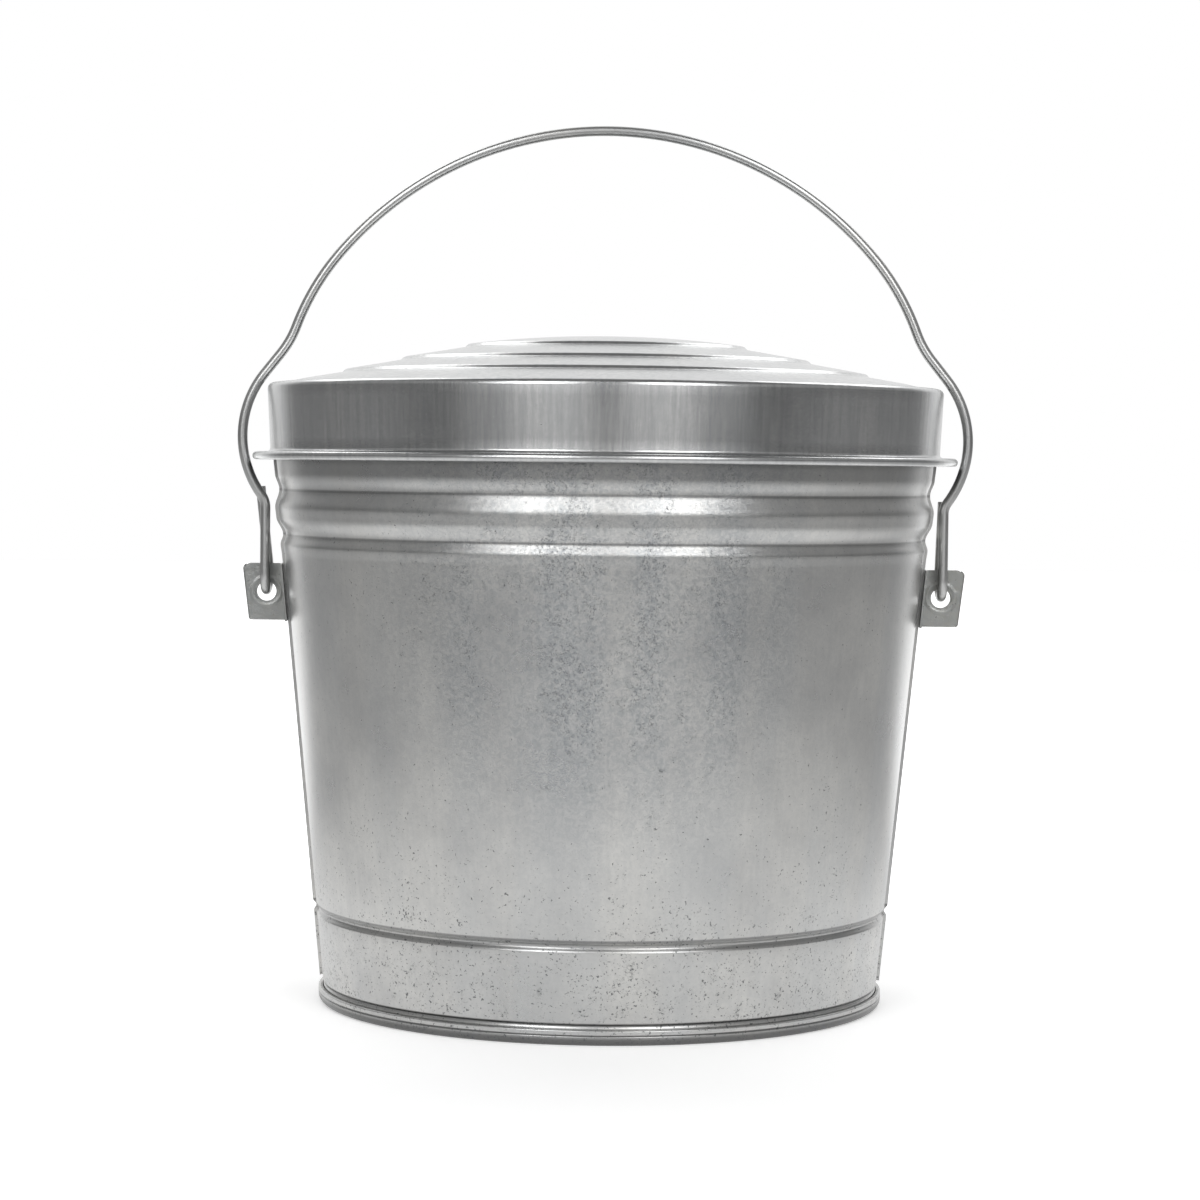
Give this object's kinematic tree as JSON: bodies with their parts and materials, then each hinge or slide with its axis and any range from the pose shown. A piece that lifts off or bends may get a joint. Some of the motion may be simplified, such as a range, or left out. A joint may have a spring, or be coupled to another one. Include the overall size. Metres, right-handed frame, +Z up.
{
  "type": "galvanized trash can with lid",
  "caption": "Round galvanized steel pail with a stepped pressed lid, a curled flange and a wire bail handle that hooks through two side ears and bulges round the lid.",
  "frame": {"origin": "on the floor under the middle of the pail", "axes": "+Z up along the pail's axis, +X towards the right ear, -Y towards the front"},
  "size_m": [0.3666, 0.3516, 0.4363],
  "materials": {
    "galvanized_sheet": "hot dip zinc, satin, finely mottled",
    "galvanized_lid": "zinc, satin",
    "galvanized_ear": "zinc, matt",
    "galvanized_wire": "zinc, glossy"
  },
  "bodies": {
    "pail": {"body_front": "galvanized_sheet", "body_back": "galvanized_sheet", "bottom_pan": "galvanized_sheet", "rim_wire": "galvanized_wire", "ear_left": "galvanized_ear", "ear_right": "galvanized_ear"},
    "lid": {"lid": "galvanized_lid"},
    "bail": {"bail": "galvanized_wire", "bail_left": "galvanized_wire", "bail_right": "galvanized_wire"}
  },
  "joints": [
    {"name": "bail_swing", "type": "hinge", "parent": "pail", "child": "bail", "pos_m": [0, 0, 0.2128], "axis": [1, 0, 0], "range_deg": [-115, 115]},
    {"name": "lid_lift", "type": "slide", "parent": "pail", "child": "lid", "axis": [0, 0, 1], "range_m": [0, 0.003]}
  ]
}
